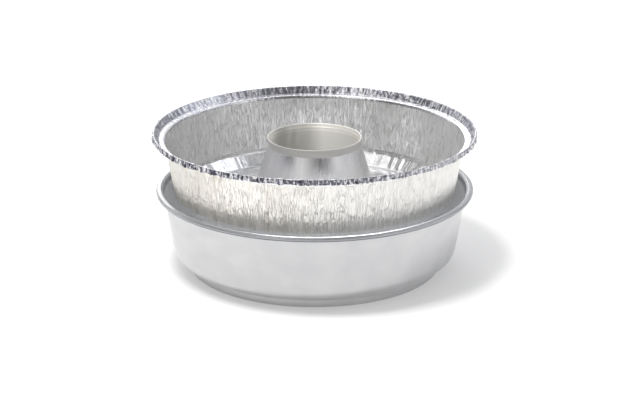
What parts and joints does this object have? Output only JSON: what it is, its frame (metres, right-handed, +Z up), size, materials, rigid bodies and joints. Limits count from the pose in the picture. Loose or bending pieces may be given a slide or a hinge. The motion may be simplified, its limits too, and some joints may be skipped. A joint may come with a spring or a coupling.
{
  "type": "ring cake pan set",
  "caption": "Round aluminium cake pan with a rolled rim, holding a lift-out crinkled foil ring pan with a conical centre tube.",
  "frame": {"origin": "centre of the outer pan's base, on the surface it stands on", "axes": "+Z is up, along the pans' common axis; X and Y are any two directions across it, because every piece is round"},
  "size_m": [0.2642, 0.2642, 0.1151],
  "materials": {
    "drawn_aluminium": "satin, faint spun lines round the wall",
    "aluminium_foil": "bright rolled foil, crinkled by pressing",
    "brushed_aluminium": "smooth, brushed up and down the cone"
  },
  "bodies": {
    "outer_pan_body": {"outer_pan": "drawn_aluminium"},
    "insert_body": {"foil_pan": "aluminium_foil", "center_tube": "brushed_aluminium"}
  },
  "joints": [
    {"name": "insert_lift", "type": "slide", "parent": "outer_pan_body", "child": "insert_body", "axis": [0, 0, 1], "range_m": [-0.041, 0.045]}
  ]
}
